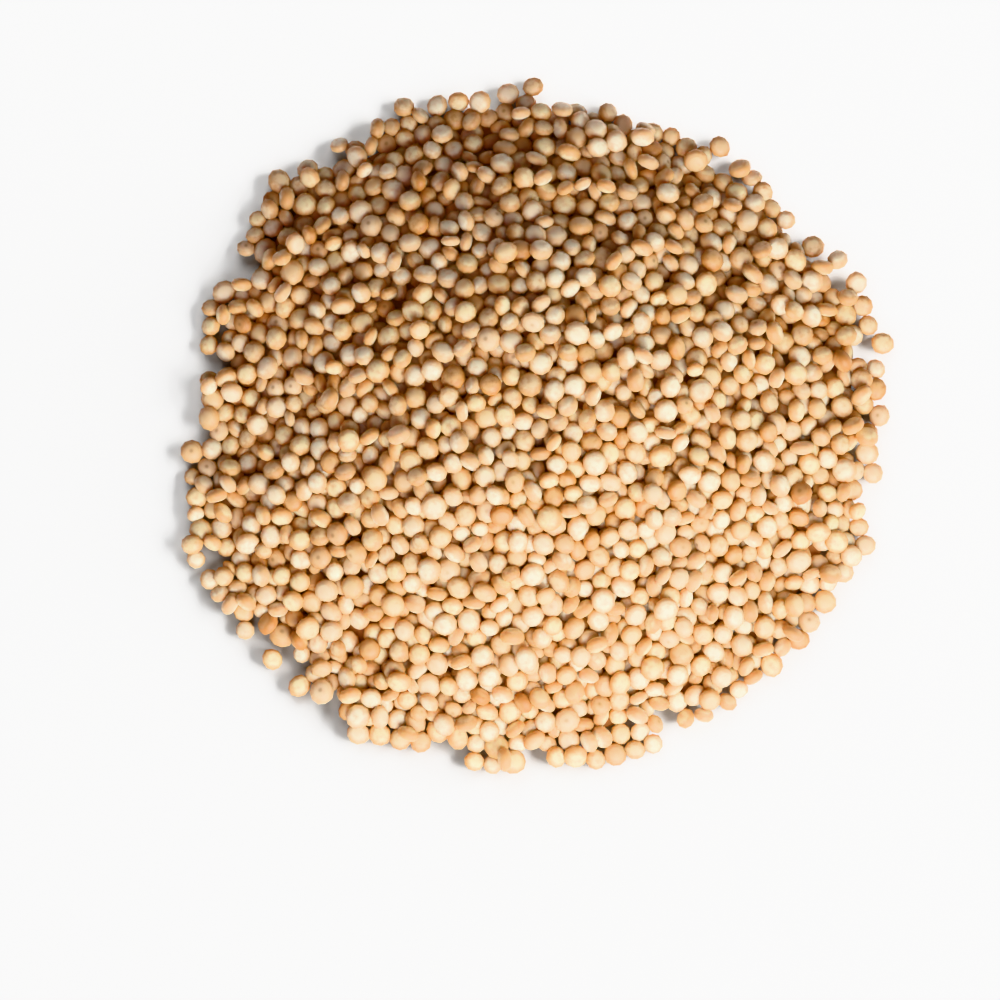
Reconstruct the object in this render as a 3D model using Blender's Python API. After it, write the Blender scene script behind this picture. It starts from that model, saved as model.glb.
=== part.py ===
"""A loose heap of dry white quinoa, poured out on a flat surface.

The heap is one solid. A low dome carries a bump for each grain of its top layer, true-size
grains stand out of it at regular sites, and a ring of grains lies round its foot and gives
it an uneven outline.

Units are metres, with +Z up. The origin is on the surface that the heap lies on, under the
middle of its bounding box.
"""

import math
import random

import bmesh
import bpy
from mathutils import Matrix, Vector, geometry, noise

MM = 0.001
SEED = 17

# One grain: a flattened round seed, a little thicker than half its width.
GRAIN_DIAMETER = 2.15 * MM
GRAIN_SPREAD = 0.08
GRAIN_SIZES = (0.82, 1.18)
GRAIN_FLATNESS = 0.64
FACET_ALLOWANCE = 1.08
GRAIN_TILT = math.radians(22)

# The outline on the surface, out to the grains at the rim: a circle with a few soft lobes,
# each given as its number of lobes, its size and the direction of its first crest.
OUTLINE_RADIUS = 32.45 * MM
OUTLINE_LOBES = (
    (1, 0.98 * MM, math.radians(220)),
    (2, 0.33 * MM, math.radians(6)),
    (3, 0.57 * MM, math.radians(119)),
    (4, 0.30 * MM, math.radians(27)),
    (5, 0.16 * MM, math.radians(7)),
    (6, 0.20 * MM, math.radians(22)),
    (8, 0.26 * MM, math.radians(15)),
    (10, 0.22 * MM, math.radians(20)),
)

# The bed under the top layer: flanks at the angle of repose and a rounded top.
FRINGE_WIDTH = 1.7 * MM
FOOT_HEIGHT = 0.7 * MM
DOME_HEIGHT = 10.3 * MM
ROUND_SHARE = 0.65
LUMP_SIZE = 8.0 * MM
LUMP_HEIGHT = 0.5 * MM
LUMP_FADE = 3.0

# The top layer: one site for each grain, as in a sunflower's head.
SITE_PITCH = 2.35 * MM
SITE_JITTER = 0.16
SITE_REACH = 0.965
JITTER_REACH = 0.9
BUMP_HEIGHT = (0.75 * MM, 1.05 * MM)
GRAIN_EVERY = 14
GRAIN_PROUD = 0.36 * MM
FOOT_POINTS = 96
POINT_TOLERANCE = 0.0001 * MM
GOLDEN_ANGLE = math.pi * (3 - math.sqrt(5))

# The ring of grains round the foot.
RIM_PITCH = 2.6 * MM
RIM_JITTER = 0.2
RIM_DEPTH = 1.2 * MM
FLOOR_CLEARANCE = 0.02 * MM

# Grains that lie a little apart from the rim: direction in degrees, distance in metres.
# Each has a neighbour further in that ties it to the heap.
STRAYS = (
    (1, 31.8 * MM),
    (9, 31.9 * MM),
    (13, 33.0 * MM),
    (57, 31.2 * MM),
    (91, 31.9 * MM),
    (113, 32.5 * MM),
    (137, 33.4 * MM),
    (144, 32.7 * MM),
    (185, 32.6 * MM),
    (198, 33.2 * MM),
    (202, 34.5 * MM),
    (228, 33.3 * MM),
    (240, 33.7 * MM),
    (339, 32.5 * MM),
)
STRAY_LINK = 0.78

QUINOA_COLOUR = (0.72, 0.50, 0.29, 1.0)
QUINOA_ROUGHNESS = 0.6


def clear_scene():
    """Start from an empty scene."""
    for old in list(bpy.data.objects):
        bpy.data.objects.remove(old)


def quinoa_material():
    """Matt pale husk."""
    material = bpy.data.materials.new("quinoa")
    material.use_nodes = True
    shader = material.node_tree.nodes["Principled BSDF"]
    shader.inputs["Base Color"].default_value = QUINOA_COLOUR
    shader.inputs["Roughness"].default_value = QUINOA_ROUGHNESS
    shader.inputs["Metallic"].default_value = 0.0
    return material


def outline_radius(angle):
    """How far the rim reaches in this direction."""
    lobes = (size * math.cos(count * (angle - crest)) for count, size, crest in OUTLINE_LOBES)
    return OUTLINE_RADIUS + sum(lobes)


def on_outline(angle, share, inset=0.0):
    """The point at this share of the way out to the outline, drawn in by the inset."""
    reach = share * (outline_radius(angle) - inset)
    return Vector((reach * math.cos(angle), reach * math.sin(angle)))


def bed_height(point):
    """Height of the bed that the top layer lies in."""
    foot = outline_radius(math.atan2(point.y, point.x)) - FRINGE_WIDTH
    share = min(point.length / foot, 1.0)
    round_top = 1 - share**2
    straight_flank = (1 + math.cos(math.pi * share)) / 2
    dome = ROUND_SHARE * round_top + (1 - ROUND_SHARE) * straight_flank
    lump = noise.noise(Vector((point.x, point.y, 0)) / LUMP_SIZE) * LUMP_HEIGHT
    return FOOT_HEIGHT + DOME_HEIGHT * dome + lump * min(1.0, LUMP_FADE * round_top)


def bed_normal(point):
    """Direction that is square to the bed."""
    step = GRAIN_DIAMETER / 2
    across = bed_height(point + Vector((step, 0))) - bed_height(point - Vector((step, 0)))
    along = bed_height(point + Vector((0, step))) - bed_height(point - Vector((0, step)))
    return Vector((-across / (2 * step), -along / (2 * step), 1)).normalized()


def top_layer_sites(rng):
    """Evenly spread sites for the grains of the top layer, from the middle outwards."""
    area = math.pi * (OUTLINE_RADIUS - FRINGE_WIDTH) ** 2
    count = round(area / (SITE_PITCH**2 * math.sqrt(3) / 2))
    sites = []
    for index in range(count):
        share = SITE_REACH * math.sqrt((index + 0.5) / count)
        site = on_outline(index * GOLDEN_ANGLE, share, FRINGE_WIDTH)
        jitter = Vector((rng.uniform(-1, 1), rng.uniform(-1, 1))) * SITE_JITTER * SITE_PITCH
        sites.append(site + jitter if share < JITTER_REACH else site)
    return sites


def build_bed(sites, rng):
    """The dome: a pyramid-shaped bump at each site, a low wall at the foot and a flat base."""
    foot = [on_outline(math.tau * k / FOOT_POINTS, 1.0, FRINGE_WIDTH) for k in range(FOOT_POINTS)]
    flat = geometry.delaunay_2d_cdt(sites + foot, [], [], 0, POINT_TOLERANCE)
    bm = bmesh.new()
    verts = [bm.verts.new((p.x, p.y, 0)) for p in flat[0]]
    for face in flat[2]:
        bm.faces.new([verts[k] for k in face])

    # A valley in the middle of each triangle turns every site into a six-sided bump.
    old_edges = [edge for edge in bm.edges if not edge.is_boundary]
    bmesh.ops.poke(bm, faces=bm.faces[:])
    bmesh.ops.rotate_edges(bm, edges=old_edges)
    for vert in bm.verts:
        vert.co.z = FOOT_HEIGHT if vert.is_boundary else bed_height(vert.co.xy)
    for index, vert in enumerate(verts[: len(sites)]):
        if index % GRAIN_EVERY:
            vert.co.z += rng.uniform(*BUMP_HEIGHT)

    rim = [edge for edge in bm.edges if edge.is_boundary]
    skirt = bmesh.ops.extrude_edge_only(bm, edges=rim)["geom"]
    for part in skirt:
        if isinstance(part, bmesh.types.BMVert):
            part.co.z = 0.0
    base = [edge for edge in bm.edges if edge.is_boundary]
    bmesh.ops.contextual_create(bm, geom=base)
    bmesh.ops.triangulate(bm, faces=bm.faces[:])
    bmesh.ops.recalc_face_normals(bm, faces=bm.faces[:])
    mesh = bpy.data.meshes.new("quinoa_heap")
    bm.to_mesh(mesh)
    bm.free()
    return mesh


def grain_size(rng):
    """Half the width of one grain."""
    share = min(max(rng.gauss(1.0, GRAIN_SPREAD), GRAIN_SIZES[0]), GRAIN_SIZES[1])
    return GRAIN_DIAMETER / 2 * share


def grain_mesh(radius, axis, rng):
    """A faceted grain round its own middle, lying square to the axis but for a random tilt."""
    bm = bmesh.new()
    bmesh.ops.create_icosphere(bm, subdivisions=1, radius=FACET_ALLOWANCE)
    bmesh.ops.scale(bm, verts=bm.verts, vec=(radius, radius, radius * GRAIN_FLATNESS))
    turn = Matrix.Rotation(rng.uniform(0, math.tau), 3, "Z")
    heading = rng.uniform(0, math.tau)
    hinge = Vector((math.cos(heading), math.sin(heading), 0))
    tilt = Matrix.Rotation(rng.gauss(0, GRAIN_TILT), 3, hinge)
    stand = axis.to_track_quat("Z", "Y").to_matrix()
    bmesh.ops.transform(bm, matrix=(stand @ tilt @ turn).to_4x4(), verts=bm.verts)
    mesh = bpy.data.meshes.new("grain")
    bm.to_mesh(mesh)
    bm.free()
    return mesh


def add_grain(name, mesh, place, grains):
    """Put one grain in the collection that is fused to the bed."""
    grain = bpy.data.objects.new(name, mesh)
    grain.location = place
    grains.objects.link(grain)


def add_top_grains(sites, grains, rng):
    """True-size grains that stand out of the top layer."""
    for index, site in enumerate(sites):
        if index % GRAIN_EVERY:
            continue
        normal = bed_normal(site)
        place = Vector((site.x, site.y, bed_height(site))) + normal * GRAIN_PROUD
        mesh = grain_mesh(grain_size(rng), normal, rng)
        add_grain(f"top_grain_{index}", mesh, place, grains)


def add_floor_grain(name, radius, angle, distance, grains, rng):
    """A grain that lies on the surface beside the foot."""
    mesh = grain_mesh(radius, Vector((0, 0, 1)), rng)
    lowest = min(vert.co.z for vert in mesh.vertices)
    place = (distance * math.cos(angle), distance * math.sin(angle), FLOOR_CLEARANCE - lowest)
    add_grain(name, mesh, place, grains)


def add_rim_grains(grains, rng):
    """The ring round the foot, and the grains that lie a little apart from it."""
    count = round(math.tau * OUTLINE_RADIUS / RIM_PITCH)
    for index in range(count):
        angle = math.tau * (index + rng.uniform(-RIM_JITTER, RIM_JITTER)) / count
        radius = grain_size(rng)
        distance = outline_radius(angle) - radius - rng.uniform(0, RIM_DEPTH)
        add_floor_grain(f"rim_grain_{index}", radius, angle, distance, grains, rng)
    for index, (direction, distance) in enumerate(STRAYS):
        angle = math.radians(direction)
        radius = grain_size(rng)
        inner = distance - 2 * radius * STRAY_LINK
        add_floor_grain(f"stray_{index}", radius, angle, distance, grains, rng)
        add_floor_grain(f"link_{index}", radius, angle, inner, grains, rng)


def fuse(heap, grains):
    """Join every grain to the bed, then remove the loose grains."""
    union = heap.modifiers.new("fused_grains", "BOOLEAN")
    union.operation = "UNION"
    union.operand_type = "COLLECTION"
    union.collection = grains
    union.solver = "MANIFOLD"
    graph = bpy.context.evaluated_depsgraph_get()
    fused = bpy.data.meshes.new_from_object(heap.evaluated_get(graph))
    heap.modifiers.remove(union)
    heap.data = fused
    for grain in list(grains.objects):
        bpy.data.objects.remove(grain)
    bpy.data.collections.remove(grains)


def islands(bm):
    """The separate skins of a mesh, each as a list of faces."""
    waiting = set(bm.faces)
    while waiting:
        skin, edge_of_skin = [], [waiting.pop()]
        while edge_of_skin:
            face = edge_of_skin.pop()
            skin.append(face)
            beside = {other for edge in face.edges for other in edge.link_faces} & waiting
            waiting -= beside
            edge_of_skin.extend(beside)
        yield skin


def keep_outer_skin(mesh):
    """Fill the hollows that fusing sealed: only the largest skin stays."""
    bm = bmesh.new()
    bm.from_mesh(mesh)
    bmesh.ops.triangulate(bm, faces=bm.faces[:])
    skins = sorted(islands(bm), key=len)
    for skin in skins[:-1]:
        bmesh.ops.delete(bm, geom=skin, context="FACES")
    bm.to_mesh(mesh)
    bm.free()


def centre_on_origin(mesh):
    """Bring the middle of the base of the bounding box to the origin."""
    low = [min(vert.co[axis] for vert in mesh.vertices) for axis in range(3)]
    high = [max(vert.co[axis] for vert in mesh.vertices) for axis in range(3)]
    middle = ((low[0] + high[0]) / 2, (low[1] + high[1]) / 2, low[2])
    mesh.transform(Matrix.Translation(-Vector(middle)))


def build_heap():
    """The whole heap as one object."""
    rng = random.Random(SEED)
    sites = top_layer_sites(rng)
    heap = bpy.data.objects.new("quinoa_heap", build_bed(sites, rng))
    bpy.context.scene.collection.objects.link(heap)
    grains = bpy.data.collections.new("grains")
    bpy.context.scene.collection.children.link(grains)
    add_top_grains(sites, grains, rng)
    add_rim_grains(grains, rng)
    fuse(heap, grains)
    keep_outer_skin(heap.data)
    centre_on_origin(heap.data)
    heap.data.materials.clear()
    heap.data.materials.append(quinoa_material())


clear_scene()
build_heap()
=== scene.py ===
"""A loose heap of dry white quinoa on a plain white surface, seen from almost overhead.

The heap is a bumpy core with two to three layers of loose grains settled over it, one grain
deep at the rim, where the surface shows between them. The grains are flattened round seeds
of uneven size, sorted into pieces by the colour of their husk.

Units are metres, with +Z up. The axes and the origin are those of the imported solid.
"""

import math
import random

import bmesh
import bpy
import numpy as np
from mathutils import Matrix, Vector, kdtree, noise


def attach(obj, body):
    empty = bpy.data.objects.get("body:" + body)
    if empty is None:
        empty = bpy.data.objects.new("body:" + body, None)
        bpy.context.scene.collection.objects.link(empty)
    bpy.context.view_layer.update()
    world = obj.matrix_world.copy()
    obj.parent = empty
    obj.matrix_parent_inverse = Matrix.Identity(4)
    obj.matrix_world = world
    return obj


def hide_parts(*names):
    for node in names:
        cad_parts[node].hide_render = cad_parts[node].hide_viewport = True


MM = 0.001
SEED = 2024
NODE = "quinoa_heap"
BODY = "root"
UP = Vector((0, 0, 1))

# The form of the heap: an outline with a few soft lobes, each given as its number of lobes,
# its size and the direction of its first crest, and a low rounded dome. It is the solid's,
# but for a mean radius that is 0.25 mm larger.
HEAP_CENTRE = (0.145 * MM, -0.23 * MM)
OUTLINE_RADIUS = 32.7 * MM
OUTLINE_LOBES = (
    (1, 0.98 * MM, math.radians(220)),
    (2, 0.33 * MM, math.radians(6)),
    (3, 0.57 * MM, math.radians(119)),
    (4, 0.30 * MM, math.radians(27)),
    (5, 0.16 * MM, math.radians(7)),
    (6, 0.20 * MM, math.radians(22)),
    (8, 0.26 * MM, math.radians(15)),
    (10, 0.22 * MM, math.radians(20)),
)
FRINGE_WIDTH = 1.7 * MM
FOOT_HEIGHT = 0.7 * MM
DOME_HEIGHT = 10.3 * MM
ROUND_SHARE = 0.65
LUMP_SIZE = 8.0 * MM
LUMP_HEIGHT = 0.5 * MM
LUMP_FADE = 3.0

# The rim wanders in and out by less than a grain. Its draw picks the cut through the noise
# that gives the sway.
RIM_SWAY = 1.2 * MM
RIM_SWAY_SPAN = 4.5 * MM
RIM_SWAY_DRAW = 14.5
RIM_GRAINS = 88
RIM_JITTER = 0.25
RIM_DEPTH = 0.9 * MM
RIM_BAND = 1.3 * MM
RIM_THINNING = 0.20

# Grains that lie a little apart from the rim: direction in degrees, distance in metres.
STRAYS = (
    (1, 31.8 * MM),
    (9, 31.9 * MM),
    (13, 33.0 * MM),
    (57, 31.2 * MM),
    (91, 31.9 * MM),
    (113, 32.5 * MM),
    (137, 33.4 * MM),
    (144, 32.7 * MM),
    (185, 32.6 * MM),
    (198, 33.2 * MM),
    (202, 34.5 * MM),
    (228, 33.3 * MM),
    (240, 33.7 * MM),
    (339, 32.5 * MM),
)

# Dark pits in the top layer, where a grain is missing.
PITS = (
    (-2.8 * MM, 3.6 * MM),
    (5.7 * MM, 5.0 * MM),
    (23.9 * MM, 5.0 * MM),
    (-18.2 * MM, -0.6 * MM),
    (-28.0 * MM, -8.5 * MM),
    (-22.4 * MM, -10.8 * MM),
    (-17.7 * MM, -18.8 * MM),
)
PIT_REACH = 1.6 * MM

# One grain: a flattened round seed. The profile runs from the middle of its face to its
# edge, in half widths and in half thicknesses. Points closer together than the seam reach,
# in half widths, become one.
GRAIN_DIAMETER = 2.03 * MM
GRAIN_SPREAD = 0.085
GRAIN_SIZES = (0.8, 1.18)
GRAIN_FLATNESS = 0.62
GRAIN_PROFILE = ((0.0, 1.0), (0.44, 0.94), (0.8, 0.68), (1.0, 0.22))
GRAIN_SIDES = 10
GRAIN_SHAPES = 10
OVAL = (0.9, 1.0)
THICKNESS = (0.88, 1.12)
BEAK = (0.02, 0.12)
BEAK_SHARPNESS = 6
DENT = (-0.04, 0.12)
SEAM_REACH = 0.001
WOBBLE = 0.06
WOBBLE_SCALE = 1.5
WOBBLE_RANGE = 50

# The layers of loose grains.
LAYER_DEPTH = 2.6 * MM
TOP_ALLOWANCE = 0.3 * MM
GRAINS_PER_VOLUME = 0.25 / MM**3
POUR_TRIES = 60000
POUR_REACH = 1.1
LYING_TILT = math.radians(27)
STANDING_SHARE = 0.3
STANDING_TILT = (math.radians(35), math.radians(90))

# Settling: small moves that push touching grains apart and draw them down.
SETTLE_STEPS = 160
PAIRS_EVERY = 6
FALL_STEP = 0.010 * MM
SETTLE_STIFFNESS = 0.55
CONTACT_SHARE = 0.95

# The core under the loose grains.
CORE_FOOT = 0.9
CORE_FINENESS = 6
CORE_BUMP = 0.7 * MM
CORE_BUMP_MIDDLE = 0.5
CORE_WALL = 8.0
CORE_SKIN = 0.15 * MM
FOOT_CLEARANCE = 0.02 * MM

# Each kind of grain: its name, its share, and the colours of its heart, of its germ ring, whose
# darker, warmer colour at the grain's edge is also painted shade, and of its husk where that is
# darkest.
KINDS = (
    ("ivory", 0.46, "F3E2C7", "E1B382", "E0BA90"),
    ("golden", 0.30, "F1DBB2", "DCA76E", "D9AA79"),
    ("tan", 0.20, "E8CDA6", "CE9C68", "C9986A"),
    ("amber", 0.04, "DCB280", "BE844A", "B67D4C"),
)
# The core's brown is painted shade: the lower grains it stands for are the same husk as the top
# ones.
CORE_PAINTED_SHADE_COLOUR = "BE8050"
CORE_ROUGHNESS = 0.8

# Husk: where the germ ring starts and ends, in half widths, the sizes of its blotches and
# wrinkles, and how far light spreads in it. The ring runs out to the grain's edge, so its
# colour also paints the shade of the rounded edge.
RING_AND_EDGE_SHADE_SPAN = (0.45, 1.0)
RING_WANDER = 0.30
GROOVE_PLACE = 0.70
GROOVE_WIDTH = 0.14
BLOTCH_SIZE = 0.55 * MM
BLOTCH_LEVELS = (0.48, 0.78)
BLOTCH_STRENGTH = 0.7
WRINKLE_SIZE = 0.16 * MM
WRINKLE_SHARE = 0.35
NOISE_DETAIL = 2.0
RELIEF_DEPTH = 0.022 * MM
RELIEF_STRENGTH = 0.8
WORN_TONES = (0.55, 1.0)
WORN_STRENGTH = 0.7
EYE_EDGES = (0.04, 0.30)
EYE_TONES = (0.91, 0.94)
EYE_STRENGTH = 0.5
EYE_COLOUR = "8A5A30"
HUSK_ROUGHNESS = 0.5
HUSK_TRANSLUCENCY = 0.9
HUSK_GLOW_REACH = 0.85 * MM
HUSK_GLOW_TINT = (1.0, 0.85, 0.7)

# Camera: almost overhead, from the front, with a long lens.
CAMERA_AIM = (-3.53 * MM, -7.53 * MM)
CAMERA_ELEVATION = math.radians(83)
CAMERA_DISTANCE = 450 * MM
CAMERA_SENSOR = 36.0
CAMERA_VIEW = 93.46 * MM
CAMERA_NEAR = 10 * MM

# Lamps: what each one lights, its direction, elevation, distance, width and height, power
# and colour. The key is near, so that its light fades towards the back of the heap. The
# surface has lamps of its own, so the heap casts only a soft shadow on it, and they are so
# strong that its pale grey looks white.
LAMPS = (
    ("key", "heap", math.radians(-69), math.radians(38), 0.165, (0.18, 0.14), 0.80, "F1FFFF"),
    ("fill", "heap", math.radians(-100), math.radians(60), 1.5, (1.2, 1.2), 5.2, "FFBEDA"),
    ("right", "floor", math.radians(-5), math.radians(20), 1.2, (1.2, 0.9), 155.0, "FFFFFF"),
    ("back", "floor", math.radians(100), math.radians(28), 1.2, (1.2, 1.2), 30.0, "FFFFFF"),
    ("front", "floor", math.radians(-110), math.radians(28), 1.2, (1.2, 1.2), 17.0, "FFFFFF"),
)
ROOM_LIGHT = 0.01
ROOM_COLOUR = "FFD2B4"
FLOOR_SIZE = 2.0
FLOOR_COLOUR = "B4B4B4"
FLOOR_ROUGHNESS = 0.8
VIEW = "Khronos PBR Neutral"


def outline_radius(angle):
    """How far the rim reaches in these directions."""
    reach = np.full_like(angle, OUTLINE_RADIUS)
    for count, size, crest in OUTLINE_LOBES:
        reach = reach + size * np.cos(count * (angle - crest))
    return reach


def rim_reach(angle):
    """The same with the small sway of the outermost grains."""
    turns = OUTLINE_RADIUS / RIM_SWAY_SPAN
    spots = zip((turns * np.cos(angle)).tolist(), (turns * np.sin(angle)).tolist())
    sway = np.array([noise.noise(Vector((a, b, RIM_SWAY_DRAW))) for a, b in spots])
    return outline_radius(angle) + RIM_SWAY * sway


def bed_height(x, y):
    """Height, over these points, of the bed that the solid's top layer lies in."""
    foot = outline_radius(np.arctan2(y, x)) - FRINGE_WIDTH
    share = np.minimum(np.hypot(x, y) / foot, 1.0)
    round_top = 1 - share**2
    straight_flank = (1 + np.cos(np.pi * share)) / 2
    dome = ROUND_SHARE * round_top + (1 - ROUND_SHARE) * straight_flank
    spots = zip((x / LUMP_SIZE).tolist(), (y / LUMP_SIZE).tolist())
    lump = np.array([noise.noise(Vector((a, b, 0))) for a, b in spots]) * LUMP_HEIGHT
    return FOOT_HEIGHT + DOME_HEIGHT * dome + lump * np.minimum(1.0, LUMP_FADE * round_top)


def core_height(x, y):
    """Height of the core under the loose grains. It is below the surface past its foot."""
    return bed_height(x, y) - LAYER_DEPTH


def core_normal(x, y):
    """Directions that are square to the core."""
    step = GRAIN_DIAMETER / 2
    across = (core_height(x + step, y) - core_height(x - step, y)) / (2 * step)
    along = (core_height(x, y + step) - core_height(x, y - step)) / (2 * step)
    normal = np.stack([-across, -along, np.ones_like(across)], axis=1)
    return normal / np.linalg.norm(normal, axis=1, keepdims=True)


def grain_radius(rng):
    """Half the width of one grain."""
    share = min(max(rng.gauss(1.0, GRAIN_SPREAD), GRAIN_SIZES[0]), GRAIN_SIZES[1])
    return GRAIN_DIAMETER / 2 * share


def tilted(normal, angle, rng):
    """The normal turned by the angle, towards a random side."""
    heading = rng.uniform(0, math.tau)
    side = Vector((math.cos(heading), math.sin(heading), 0))
    return Matrix.Rotation(angle, 3, side) @ Vector(normal)


def pour_grains(rng):
    """First places, before settling: strays, the rim's ring, then the body of the heap."""
    places, axes, radii, fixed = [], [], [], []

    def add(x, y, z, axis, radius, is_fixed):
        places.append((x, y, z))
        axes.append(tuple(axis))
        radii.append(radius)
        fixed.append(is_fixed)

    for degrees, distance in STRAYS:
        angle = math.radians(degrees)
        spot = (distance * math.cos(angle), distance * math.sin(angle))
        add(*spot, 0.0, tilted(UP, rng.gauss(0, LYING_TILT / 2), rng), grain_radius(rng), True)
    for index in range(RIM_GRAINS):
        angle = math.tau * (index + rng.uniform(-RIM_JITTER, RIM_JITTER)) / RIM_GRAINS
        radius = grain_radius(rng)
        reach = rim_reach(np.array([angle]))[0] - radius - rng.uniform(0, RIM_DEPTH)
        spot = (reach * math.cos(angle), reach * math.sin(angle))
        add(*spot, 0.0, tilted(UP, rng.gauss(0, LYING_TILT), rng), radius, False)

    spread = np.random.default_rng(SEED)
    x, y = spread.uniform(-POUR_REACH, POUR_REACH, (2, POUR_TRIES)) * OUTLINE_RADIUS
    inside = np.hypot(x, y) < outline_radius(np.arctan2(y, x)) - GRAIN_DIAMETER / 2
    x, y = x[inside], y[inside]
    low = np.maximum(core_height(x, y), 0)
    depth = bed_height(x, y) + TOP_ALLOWANCE - low
    kept = spread.uniform(0, 1, len(x)) < depth / depth.max()
    area = math.pi * OUTLINE_RADIUS**2
    count = round(GRAINS_PER_VOLUME * area * depth.mean())
    x, y, low, depth = x[kept][:count], y[kept][:count], low[kept][:count], depth[kept][:count]
    half = GRAIN_DIAMETER * GRAIN_FLATNESS / 2
    z = low + half + spread.uniform(0, 1, len(x)) * np.maximum(depth - 2 * half, 0)
    for a, b, c, normal in zip(x, y, z, core_normal(x, y)):
        if rng.random() < STANDING_SHARE:
            angle = rng.uniform(*STANDING_TILT)
        else:
            angle = rng.gauss(0, LYING_TILT)
        add(a, b, c, tilted(normal, angle, rng), grain_radius(rng), False)
    return np.array(places), np.array(axes), np.array(radii), np.array(fixed)


def close_pairs(place, reach):
    """Every pair of grains that may touch."""
    tree = kdtree.KDTree(len(place))
    for index, spot in enumerate(place):
        tree.insert(spot, index)
    tree.balance()
    pairs = [
        (index, other)
        for index, spot in enumerate(place)
        for _, other, _ in tree.find_range(spot, reach)
        if other > index
    ]
    return np.array(pairs)


def reach_along(direction, axis, radius):
    """How far a flattened grain reaches from its middle along a direction."""
    facing = np.sum(direction * axis, axis=1) ** 2
    return radius * np.sqrt(1 - facing + facing * GRAIN_FLATNESS**2)


def push_apart(place, axis, radius, pairs):
    """The moves that part touching grains, by the contact distance of two flattened ones."""
    flat = (GRAIN_FLATNESS**2 - 1) / (GRAIN_FLATNESS**2 + 1)
    one, two = pairs.T
    gap = place[two] - place[one]
    distance = np.maximum(np.linalg.norm(gap, axis=1), FOOT_CLEARANCE)
    along = gap / distance[:, None]
    turn_one = np.sum(along * axis[one], axis=1)
    turn_two = np.sum(along * axis[two], axis=1)
    twist = np.sum(axis[one] * axis[two], axis=1)
    shape = (turn_one + turn_two) ** 2 / (1 + flat * twist)
    shape += (turn_one - turn_two) ** 2 / (1 - flat * twist)
    touch = CONTACT_SHARE * (radius[one] + radius[two]) / np.sqrt(1 - flat / 2 * shape)
    overlap = np.maximum(touch - distance, 0) * SETTLE_STIFFNESS / 2
    push = np.zeros_like(place)
    for side in range(3):
        shove = along[:, side] * overlap
        push[:, side] += np.bincount(two, shove, len(place))
        push[:, side] -= np.bincount(one, shove, len(place))
    return push


def settle(place, axis, radius, fixed):
    """Push touching grains apart and draw them down on to the core and the surface."""
    floor_reach = reach_along(np.array([UP]), axis, radius)
    place[:, 2] = np.maximum(place[:, 2], floor_reach)
    for step in range(SETTLE_STEPS):
        if step % PAIRS_EVERY == 0:
            pairs = close_pairs(place, GRAIN_DIAMETER * GRAIN_SIZES[1])
            normal = core_normal(place[:, 0], place[:, 1])
            limit = rim_reach(np.arctan2(place[:, 1], place[:, 0])) - radius
        push = push_apart(place, axis, radius, pairs)
        push[:, 2] -= FALL_STEP
        push[fixed, :2] = 0
        place += push

        core_gap = (place[:, 2] - core_height(place[:, 0], place[:, 1])) * normal[:, 2]
        lift = np.maximum(reach_along(normal, axis, radius) - core_gap, 0)
        place += normal * np.where(fixed, 0, lift)[:, None]
        place[:, 2] = np.maximum(place[:, 2], floor_reach)
        out = np.hypot(place[:, 0], place[:, 1])
        pull = np.where(fixed, 1.0, np.minimum(1.0, limit / out))
        place[:, :2] *= pull[:, None]
    return place


def grains_to_keep(place, radius, fixed, rng):
    """Every grain but those missing from the pits and from the rim."""
    out = np.hypot(place[:, 0], place[:, 1])
    at_rim = out > rim_reach(np.arctan2(place[:, 1], place[:, 0])) - radius - RIM_BAND
    missing = {k for k in np.flatnonzero(at_rim & ~fixed) if rng.random() < RIM_THINNING}
    for x, y in PITS:
        near = np.flatnonzero(np.hypot(place[:, 0] - x, place[:, 1] - y) < PIT_REACH)
        missing.update(sorted(near, key=lambda k: place[k, 2])[-1:])
    return [k for k in range(len(place)) if k not in missing]


def grain_shape(rng):
    """One seed of unit radius: a spun profile with rounded rims, a beak and a slight dent."""
    bm = bmesh.new()
    profile = list(GRAIN_PROFILE) + [(r, -z) for r, z in reversed(GRAIN_PROFILE)]
    verts = [bm.verts.new((r, 0, z * GRAIN_FLATNESS)) for r, z in profile]
    edges = [bm.edges.new(pair) for pair in zip(verts, verts[1:])]
    bmesh.ops.spin(
        bm, geom=verts + edges, cent=(0, 0, 0), axis=(0, 0, 1), angle=math.tau,
        steps=GRAIN_SIDES, use_merge=True, use_duplicate=False,
    )
    bmesh.ops.remove_doubles(bm, verts=bm.verts, dist=SEAM_REACH)
    bmesh.ops.recalc_face_normals(bm, faces=bm.faces)
    own = np.array([tuple(vert.co) for vert in bm.verts]) / (1, 1, GRAIN_FLATNESS)

    oval = rng.uniform(*OVAL)
    thick = rng.uniform(*THICKNESS)
    beak = rng.uniform(*BEAK)
    dent = rng.uniform(*DENT)
    spot = Vector([rng.uniform(0, WOBBLE_RANGE) for _ in range(3)])
    for vert in bm.verts:
        out = vert.co.xy.length
        ahead = max(0.0, vert.co.x / out) if out else 0.0
        vert.co *= 1 + WOBBLE * noise.noise(vert.co * WOBBLE_SCALE + spot)
        vert.co.xy *= 1 + beak * out * ahead**BEAK_SHARPNESS
        vert.co.z *= thick * (1 - dent * (1 - out))
        vert.co.y *= oval
    points = np.array([tuple(vert.co) for vert in bm.verts])
    bm.verts.index_update()
    sides = [tuple(vert.index for vert in face.verts) for face in bm.faces]
    bm.free()
    return points, sides, own


def add_piece(name, mesh, material):
    """Put a finished mesh in the scene as a piece that stands for the solid heap."""
    piece = bpy.data.objects.new(name, mesh)
    bpy.context.scene.collection.objects.link(piece)
    mesh.materials.append(material)
    mesh.shade_smooth()
    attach(piece, BODY)
    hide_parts(NODE)


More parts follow.
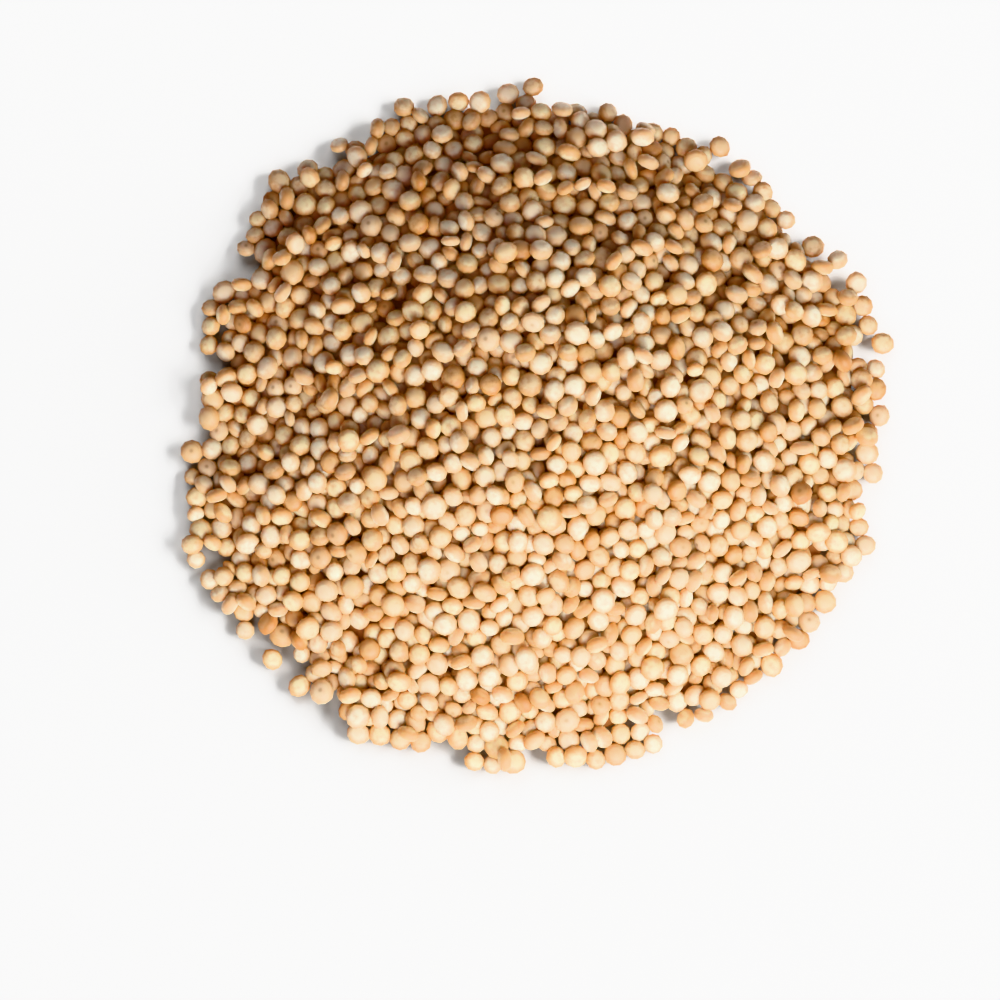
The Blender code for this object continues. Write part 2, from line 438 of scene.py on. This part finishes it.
def join_grains(name, chosen, grains, shapes, material, rng):
    """One piece from the chosen grains, with each grain's own coordinates and tone kept."""
    place, axis, radius = grains
    points, sides, own_places, tones = [], [], [], []
    start = 0
    for index in chosen:
        shape, shape_sides, own = rng.choice(shapes)
        stand = Vector(axis[index]).to_track_quat("Z", "Y").to_matrix()
        turn = stand @ Matrix.Rotation(rng.uniform(0, math.tau), 3, "Z")
        spots = shape @ np.array(turn).T * radius[index] + place[index]
        spots[:, 2] += max(0.0, -spots[:, 2].min())
        points.append(spots)
        sides += [tuple(start + corner for corner in side) for side in shape_sides]
        own_places.append(own)
        tones.append(np.full(len(own), rng.random()))
        start += len(own)
    mesh = bpy.data.meshes.new(name)
    mesh.from_pydata(np.concatenate(points).tolist(), [], sides)
    own_place = mesh.attributes.new("seed_place", "FLOAT_VECTOR", "POINT")
    own_place.data.foreach_set("vector", np.concatenate(own_places).ravel())
    tone = mesh.attributes.new("seed_tone", "FLOAT", "POINT")
    tone.data.foreach_set("value", np.concatenate(tones))
    add_piece(name, mesh, material)


def build_core():
    """The dome under the loose grains, with bumps of their size."""
    bm = bmesh.new()
    bmesh.ops.create_icosphere(bm, subdivisions=CORE_FINENESS, radius=1.0)
    for vert in bm.verts:
        upper = vert.co.z > 0
        wall = min(1.0, vert.co.z * CORE_WALL)
        angle = math.atan2(vert.co.y, vert.co.x)
        foot = CORE_FOOT * outline_radius(np.array([angle]))[0]
        vert.co *= foot
        vert.co.z = FOOT_CLEARANCE
        if upper:
            cell = noise.voronoi(vert.co.xy.to_3d() / GRAIN_DIAMETER)[0][0]
            top = core_height(np.array([vert.co.x]), np.array([vert.co.y]))[0]
            height = max(top + CORE_BUMP * (CORE_BUMP_MIDDLE - cell), CORE_SKIN)
            vert.co.z += height * wall
    bmesh.ops.recalc_face_normals(bm, faces=bm.faces)
    mesh = bpy.data.meshes.new("heap_core")
    bm.to_mesh(mesh)
    bm.free()
    add_piece("heap_core", mesh, core_material())


def linear(hex_colour):
    """An sRGB hex colour as linear values."""
    parts = [int(hex_colour[k : k + 2], 16) / 255 for k in (0, 2, 4)]
    return tuple(v / 12.92 if v <= 0.04045 else ((v + 0.055) / 1.055) ** 2.4 for v in parts)


def add_node(tree, kind, links=(), sockets=(), **settings):
    """Add a node, set its properties and sockets, and link its inputs."""
    node = tree.nodes.new(kind)
    for key, value in settings.items():
        setattr(node, key, value)
    for key, value in dict(sockets).items():
        node.inputs[key].default_value = value
    for key, source in dict(links).items():
        tree.links.new(source, node.inputs[key])
    return node


def new_material(name, roughness):
    """A material with its node tree and its shader."""
    material = bpy.data.materials.new(name)
    material.use_nodes = True
    shader = material.node_tree.nodes["Principled BSDF"]
    shader.inputs["Roughness"].default_value = roughness
    return material, material.node_tree, shader


def husk_material(name, heart, germ_and_edge_shade, dark):
    """Dry quinoa husk: a chalky heart in a warmer, clearer ring where the germ shows through.

    The ring runs out to the grain's edge, and its darker, warmer colour there is partly painted
    shade: that of the rounded edge and of the gaps between grains. The ring is set off by a
    shallow groove. The husk is blotched and finely wrinkled, some grains are darker all over,
    and a few have a brown dot in the middle of the face.
    """
    material, tree, shader = new_material(name, HUSK_ROUGHNESS)
    own = add_node(tree, "ShaderNodeAttribute", attribute_name="seed_place")
    tone = add_node(tree, "ShaderNodeAttribute", attribute_name="seed_tone")
    place = add_node(tree, "ShaderNodeTexCoord")
    flat = add_node(
        tree, "ShaderNodeVectorMath", {0: own.outputs["Vector"]}, {1: (1, 1, 0)},
        operation="MULTIPLY",
    )
    out = add_node(
        tree, "ShaderNodeVectorMath", {0: flat.outputs["Vector"]}, operation="LENGTH"
    )
    blotch = add_node(
        tree, "ShaderNodeTexNoise", {"Vector": place.outputs["Object"]},
        {"Scale": 1 / BLOTCH_SIZE, "Detail": NOISE_DETAIL},
    )
    wandering = add_node(
        tree, "ShaderNodeMath", {0: blotch.outputs["Fac"], 2: out.outputs["Value"]},
        {1: RING_WANDER}, operation="MULTIPLY_ADD",
    )
    # The germ ring's mask. It runs out to the grain's edge, where its colour is partly painted
    # shade.
    ring_and_edge_shade = add_node(
        tree, "ShaderNodeMapRange", {"Value": wandering.outputs["Value"]},
        {
            "From Min": RING_AND_EDGE_SHADE_SPAN[0] + RING_WANDER / 2,
            "From Max": RING_AND_EDGE_SHADE_SPAN[1] + RING_WANDER / 2,
        },
        interpolation_type="SMOOTHSTEP",
    )
    husk = add_node(
        tree, "ShaderNodeMix", {"Factor": ring_and_edge_shade.outputs["Result"]},
        {"A": (*linear(heart), 1), "B": (*linear(germ_and_edge_shade), 1)}, data_type="RGBA",
    )
    worn = add_node(
        tree, "ShaderNodeMapRange", {"Value": tone.outputs["Fac"]},
        {"From Min": WORN_TONES[0], "From Max": WORN_TONES[1], "To Max": WORN_STRENGTH},
    )
    stained = add_node(
        tree, "ShaderNodeMapRange", {"Value": blotch.outputs["Fac"]},
        {"From Min": BLOTCH_LEVELS[0], "From Max": BLOTCH_LEVELS[1], "To Max": BLOTCH_STRENGTH},
    )
    darker = add_node(
        tree, "ShaderNodeMath",
        {0: worn.outputs["Result"], 1: stained.outputs["Result"]}, operation="MAXIMUM",
    )
    aged = add_node(
        tree, "ShaderNodeMix", {"Factor": darker.outputs["Value"], "A": husk.outputs["Result"]},
        {"B": (*linear(dark), 1)}, data_type="RGBA",
    )
    eye = add_node(
        tree, "ShaderNodeMapRange", {"Value": out.outputs["Value"]},
        {"From Min": EYE_EDGES[1], "From Max": EYE_EDGES[0], "To Max": EYE_STRENGTH},
        interpolation_type="SMOOTHSTEP",
    )
    with_eye = add_node(
        tree, "ShaderNodeMapRange", {"Value": tone.outputs["Fac"]},
        {"From Min": EYE_TONES[0], "From Max": EYE_TONES[1]},
    )
    eye_share = add_node(
        tree, "ShaderNodeMath", {0: eye.outputs["Result"], 1: with_eye.outputs["Result"]},
        operation="MULTIPLY",
    )
    colour = add_node(
        tree, "ShaderNodeMix",
        {"Factor": eye_share.outputs["Value"], "A": aged.outputs["Result"]},
        {"B": (*linear(EYE_COLOUR), 1)}, data_type="RGBA",
    )
    tree.links.new(colour.outputs["Result"], shader.inputs["Base Color"])

    from_groove = add_node(
        tree, "ShaderNodeMath", {0: out.outputs["Value"]},
        {1: GROOVE_PLACE}, operation="SUBTRACT",
    )
    beside = add_node(
        tree, "ShaderNodeMath", {0: from_groove.outputs["Value"]}, operation="ABSOLUTE"
    )
    groove = add_node(
        tree, "ShaderNodeMapRange", {"Value": beside.outputs["Value"]},
        {"From Max": GROOVE_WIDTH}, interpolation_type="SMOOTHSTEP",
    )
    wrinkle = add_node(
        tree, "ShaderNodeTexNoise", {"Vector": place.outputs["Object"]},
        {"Scale": 1 / WRINKLE_SIZE, "Detail": NOISE_DETAIL},
    )
    height = add_node(
        tree, "ShaderNodeMath", {0: wrinkle.outputs["Fac"], 2: groove.outputs["Result"]},
        {1: WRINKLE_SHARE}, operation="MULTIPLY_ADD",
    )
    relief = add_node(
        tree, "ShaderNodeBump", {"Height": height.outputs["Value"]},
        {"Distance": RELIEF_DEPTH, "Strength": RELIEF_STRENGTH},
    )
    tree.links.new(relief.outputs["Normal"], shader.inputs["Normal"])
    shader.inputs["Subsurface Weight"].default_value = HUSK_TRANSLUCENCY
    shader.inputs["Subsurface Radius"].default_value = HUSK_GLOW_TINT
    shader.inputs["Subsurface Scale"].default_value = HUSK_GLOW_REACH
    return material


def core_material():
    """Lower grains seen through the gaps: dry husk, with their shade painted in as a darker
    brown.
    """
    material, _, shader = new_material("shaded_quinoa_husk", CORE_ROUGHNESS)
    shader.inputs["Base Color"].default_value = (*linear(CORE_PAINTED_SHADE_COLOUR), 1)
    return material


def build_heap():
    """The whole heap."""
    rng = random.Random(SEED)
    place, axis, radius, fixed = pour_grains(rng)
    place = settle(place, axis, radius, fixed)
    order = grains_to_keep(place, radius, fixed, rng)
    place[:, :2] += HEAP_CENTRE
    shapes = [grain_shape(rng) for _ in range(GRAIN_SHAPES)]
    rng.shuffle(order)
    total = len(order)
    for kind, share, heart, germ_and_edge_shade, dark in KINDS:
        count = math.ceil(share * total)
        chosen, order = order[:count], order[count:]
        material = husk_material(f"{kind}_quinoa_husk", heart, germ_and_edge_shade, dark)
        join_grains(f"{kind}_grains", chosen, (place, axis, radius), shapes, material, rng)
    build_core()


def build_floor():
    """The bare surface: a plain matt board."""
    bm = bmesh.new()
    bmesh.ops.create_grid(bm, x_segments=1, y_segments=1, size=FLOOR_SIZE)
    mesh = bpy.data.meshes.new("floor")
    bm.to_mesh(mesh)
    bm.free()
    floor = bpy.data.objects.new("floor", mesh)
    bpy.context.scene.collection.objects.link(floor)
    material, _, shader = new_material("pale_board", FLOOR_ROUGHNESS)
    shader.inputs["Base Color"].default_value = (*linear(FLOOR_COLOUR), 1)
    mesh.materials.append(material)
    return floor


def place_camera():
    """The camera faces its aim on the surface."""
    camera = bpy.data.cameras.new("camera")
    camera.sensor_width = CAMERA_SENSOR
    camera.lens = CAMERA_SENSOR * CAMERA_DISTANCE / CAMERA_VIEW
    camera.clip_start = CAMERA_NEAR
    holder = bpy.data.objects.new("camera", camera)
    back = Vector((0, -math.cos(CAMERA_ELEVATION), math.sin(CAMERA_ELEVATION)))
    holder.location = Vector((*CAMERA_AIM, 0)) + back * CAMERA_DISTANCE
    holder.rotation_euler = back.to_track_quat("Z", "Y").to_euler()
    bpy.context.scene.collection.objects.link(holder)
    bpy.context.scene.camera = holder


def place_lamps(floor):
    """Soft rectangular lamps that face the heap, each for the heap or the surface alone."""
    heap = [thing for thing in bpy.data.objects if thing.type == "MESH" and thing != floor]
    lit = {"heap": bpy.data.collections.new("heap"), "floor": bpy.data.collections.new("floor")}
    for thing in heap:
        lit["heap"].objects.link(thing)
    lit["floor"].objects.link(floor)
    for name, target, azimuth, elevation, distance, size, power, colour in LAMPS:
        lamp = bpy.data.lights.new(name, "AREA")
        lamp.shape = "RECTANGLE"
        lamp.size, lamp.size_y = size
        lamp.energy = power
        lamp.color = linear(colour)
        holder = bpy.data.objects.new(name, lamp)
        holder.light_linking.receiver_collection = lit[target]
        flat = math.cos(elevation)
        way = Vector((flat * math.cos(azimuth), flat * math.sin(azimuth), math.sin(elevation)))
        holder.location = way * distance
        holder.rotation_euler = way.to_track_quat("Z", "Y").to_euler()
        bpy.context.scene.collection.objects.link(holder)


def light_room():
    """A trace of warm light from all round, so that no gap is black."""
    world = bpy.data.worlds.new("room")
    world.use_nodes = True
    background = world.node_tree.nodes["Background"]
    background.inputs["Color"].default_value = (*linear(ROOM_COLOUR), 1)
    background.inputs["Strength"].default_value = ROOM_LIGHT
    bpy.context.scene.world = world


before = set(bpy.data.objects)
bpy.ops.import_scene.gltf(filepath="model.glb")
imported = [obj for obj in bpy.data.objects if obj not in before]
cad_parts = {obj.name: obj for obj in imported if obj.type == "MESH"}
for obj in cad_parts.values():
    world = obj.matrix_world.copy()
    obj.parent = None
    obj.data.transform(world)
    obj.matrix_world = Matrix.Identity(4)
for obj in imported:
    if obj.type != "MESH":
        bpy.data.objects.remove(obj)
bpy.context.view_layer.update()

build_heap()
floor = build_floor()
place_camera()
place_lamps(floor)
light_room()
bpy.context.scene.view_settings.view_transform = VIEW
